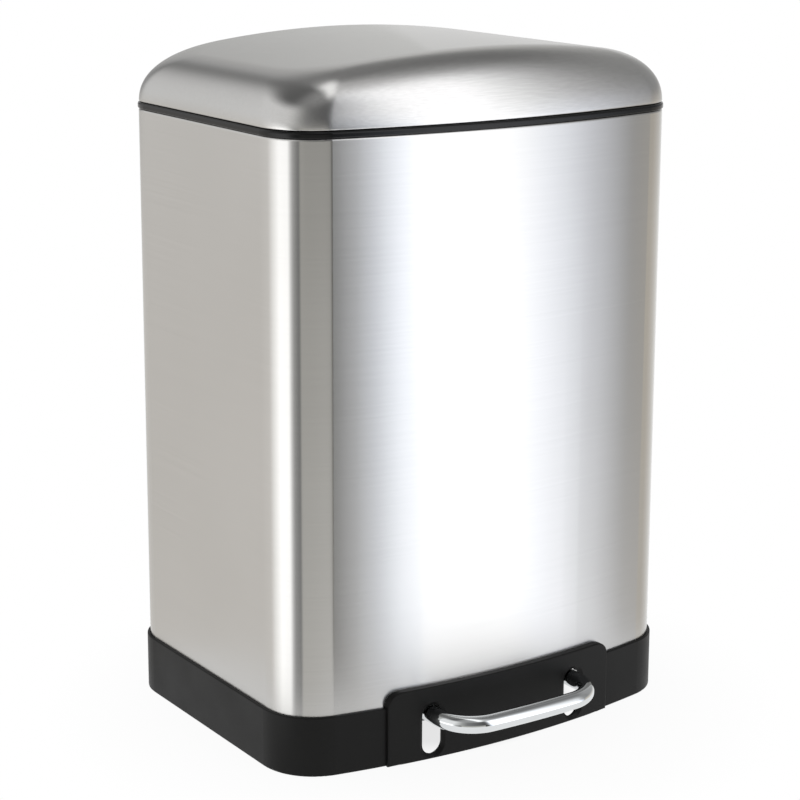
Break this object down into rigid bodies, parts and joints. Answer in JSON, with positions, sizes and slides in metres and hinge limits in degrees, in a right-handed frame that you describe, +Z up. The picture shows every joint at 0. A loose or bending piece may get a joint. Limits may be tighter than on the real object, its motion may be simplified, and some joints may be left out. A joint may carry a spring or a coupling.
{
  "type": "pedal trash can",
  "caption": "Free-standing rectangular pedal bin: bowed brushed steel wrap, domed hinged lid, black moulded base, lift-out bucket, and a bar pedal that lifts the lid by a push rod.",
  "frame": {"origin": "on the floor, under the middle of the overall box", "axes": "+Z up, -Y towards the front, where the pedal is, +X to the right seen from the front"},
  "size_m": [0.296, 0.2688, 0.4368],
  "materials": {
    "brushed_steel": "horizontally brushed stainless sheet",
    "black_plastic": "satin moulded black",
    "chrome": "polished plate",
    "zinc_steel": "bright zinc plate",
    "steel_wire": "drawn bright steel",
    "nylon": "natural nylon",
    "aluminium": "bright rivet",
    "rubber": "matte",
    "bucket_plastic": "fine moulded grain, charcoal"
  },
  "bodies": {
    "can": {"outer_shell": "brushed_steel", "top_ring": "black_plastic", "base": "black_plastic", "rubber_feet": "rubber", "pedal_plate": "black_plastic", "plate_screws": "zinc_steel", "axle_bushes": "nylon", "rod_guides": "nylon", "guide_rivets": "aluminium", "hinge_bracket": "black_plastic", "hinge_screws": "zinc_steel", "hinge_pin": "steel_wire", "inner_bucket": "bucket_plastic"},
    "lid": {"lid_shell": "brushed_steel", "lid_liner": "black_plastic", "lid_bracket": "black_plastic", "bracket_screws": "zinc_steel", "lid_bumpers": "rubber"},
    "pedal": {"pedal_bar": "chrome", "pedal_lever": "zinc_steel", "bar_screws": "zinc_steel", "pedal_axle": "steel_wire", "axle_clips": "zinc_steel"},
    "rod": {"push_rod": "steel_wire", "rod_foot": "nylon"}
  },
  "joints": [
    {"name": "lid_hinge", "type": "hinge", "parent": "can", "child": "lid", "pos_m": [0, 0.12915, 0.39], "axis": [-1, 0, 0], "range_deg": [0, 75]},
    {"name": "pedal_pivot", "type": "hinge", "parent": "can", "child": "pedal", "pos_m": [0, -0.01385, 0.0275], "axis": [1, 0, 0], "range_deg": [0, 10.31]},
    {"name": "rod_slide", "type": "slide", "parent": "can", "child": "rod", "axis": [0, 0, 1], "range_m": [0, 0.02302]}
  ],
  "couplings": [
    {"joint": "pedal_pivot", "follows": "lid_hinge", "ratio": 0.13739},
    {"joint": "rod_slide", "follows": "lid_hinge", "m_per_rad": 0.017586}
  ]
}
